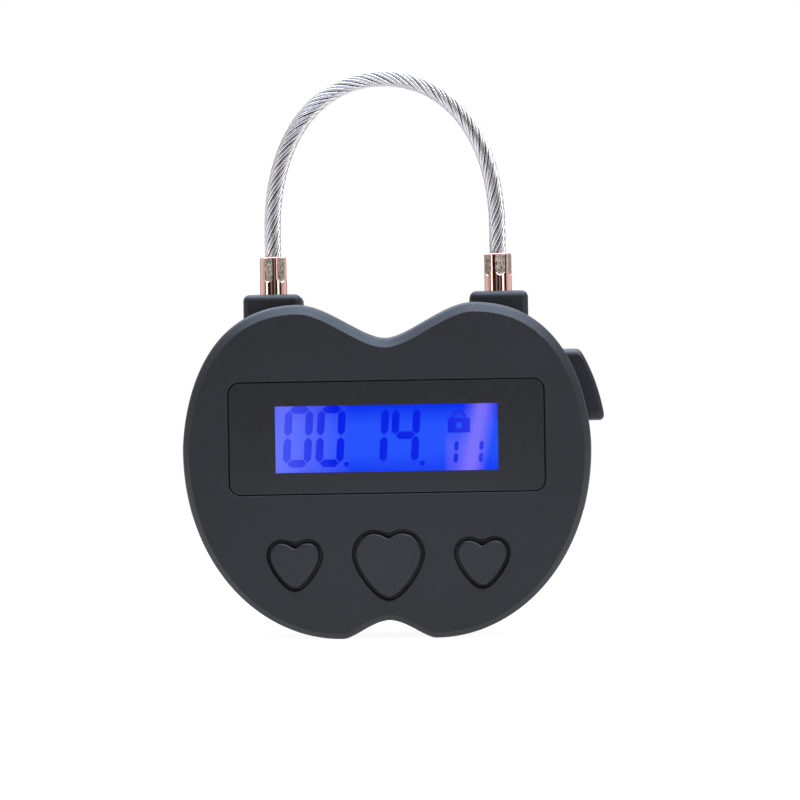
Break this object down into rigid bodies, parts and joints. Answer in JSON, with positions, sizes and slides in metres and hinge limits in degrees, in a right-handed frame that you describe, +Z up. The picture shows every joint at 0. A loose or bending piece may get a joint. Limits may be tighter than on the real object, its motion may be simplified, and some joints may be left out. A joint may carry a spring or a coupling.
{
  "type": "timed cable padlock",
  "caption": "Timed padlock with a wire-rope shackle, countdown display, heart-shaped buttons and a motor-driven latch.",
  "frame": {"origin": "on the symmetry plane, at mid-thickness of the body, level with the two rounded feet that the lock stands on", "axes": "+X to the right seen from the front, +Y from the front face to the back, +Z up towards the shackle"},
  "size_m": [0.0729, 0.0226, 0.0991],
  "materials": {
    "shell": "fine-textured moulded plastic, charcoal black with a slight blue cast",
    "lens": "clear acrylic window, smooth",
    "lens_print": "charcoal print on the back of the lens",
    "lcd_glass": "two thin sheets of glass",
    "lcd_ink": "dark blue liquid-crystal strokes",
    "backlight": "blue light guide, lit from its edge",
    "contact_rubber": "striped contact rubber",
    "board": "green glass-fibre board",
    "chips": "black moulded resin",
    "buttons": "smooth black moulded plastic",
    "plungers": "plain",
    "battery_foil": "laminated foil pouch",
    "foam": "closed-cell foam tape",
    "lead_cover": "wire insulation",
    "steel": "machined steel",
    "screws": "zinc-plated steel",
    "brass": "cut brass",
    "gear_plastic": "natural acetal",
    "zinc": "bead-blasted zinc casting",
    "ferrule_metal": "polished copper-nickel plating",
    "wire_rope": "bright stranded steel wire"
  },
  "bodies": {
    "housing": {"front_shell": "shell", "rear_shell": "shell", "display_lens": "lens", "lens_mask": "lens_print", "lcd_glass": "lcd_glass", "lcd_segments": "lcd_ink", "lcd_backlight": "backlight", "lcd_connector": "contact_rubber", "main_board": "board", "board_parts": "chips", "tact_switches": "chips", "power_switch": "chips", "charging_jack": "chips", "battery": "battery_foil", "battery_pad": "foam", "battery_leads": "lead_cover", "motor_leads": "lead_cover", "latch_motor": "steel", "gear_axle": "steel", "gear_bracket": "steel", "lock_block": "zinc", "anchor_block": "zinc", "anchor_pin": "steel", "anchor_clip": "steel", "fixed_ferrule": "ferrule_metal", "shackle_rope": "wire_rope", "case_screws": "screws", "board_screws": "screws", "block_screws": "screws", "bracket_screws": "screws"},
    "hour_button": {"hour_button": "buttons", "hour_plunger": "plungers"},
    "lock_button": {"lock_button": "buttons", "lock_plunger": "plungers"},
    "minute_button": {"minute_button": "buttons", "minute_plunger": "plungers"},
    "power_button": {"power_button": "buttons", "power_plunger": "plungers"},
    "free_end": {"free_ferrule": "ferrule_metal", "locking_pin": "steel"},
    "latch_bolt": {"latch_bolt": "steel"},
    "reduction_gear": {"reduction_gear": "gear_plastic"},
    "motor_rotor": {"motor_shaft": "steel", "motor_pinion": "brass"}
  },
  "joints": [
    {"name": "hour_press", "type": "slide", "parent": "housing", "child": "hour_button", "axis": [0, 1, 0], "range_m": [0, 0.0005], "stiffness_N_per_m": 1000, "springref_m": -0.0003},
    {"name": "lock_press", "type": "slide", "parent": "housing", "child": "lock_button", "axis": [0, 1, 0], "range_m": [0, 0.0005], "stiffness_N_per_m": 1000, "springref_m": -0.0003},
    {"name": "minute_press", "type": "slide", "parent": "housing", "child": "minute_button", "axis": [0, 1, 0], "range_m": [0, 0.0005], "stiffness_N_per_m": 1000, "springref_m": -0.0003},
    {"name": "power_press", "type": "slide", "parent": "housing", "child": "power_button", "axis": [-1, 0, 0], "range_m": [0, 0.0008], "stiffness_N_per_m": 1000, "springref_m": -0.0003},
    {"name": "shackle_release", "type": "slide", "parent": "housing", "child": "free_end", "axis": [0, 0, 1], "range_m": [0, 0.017], "deforming": ["shackle_rope"]},
    {"name": "latch_slide", "type": "slide", "parent": "housing", "child": "latch_bolt", "axis": [1, 0, 0], "range_m": [0, 0.0012]},
    {"name": "reduction_turn", "type": "hinge", "parent": "housing", "child": "reduction_gear", "pos_m": [0.0055, 0.0035, 0.04356], "axis": [0, 1, 0], "range_deg": [0, 34.5]},
    {"name": "motor_turn", "type": "hinge", "parent": "housing", "child": "motor_rotor", "pos_m": [-0.00068, 0, 0.04068], "axis": [0, 1, 0], "range_deg": [-82.8, 0]}
  ],
  "couplings": [
    {"joint": "reduction_turn", "follows": "latch_slide", "rad_per_m": 500},
    {"joint": "motor_turn", "follows": "latch_slide", "rad_per_m": -1200}
  ]
}
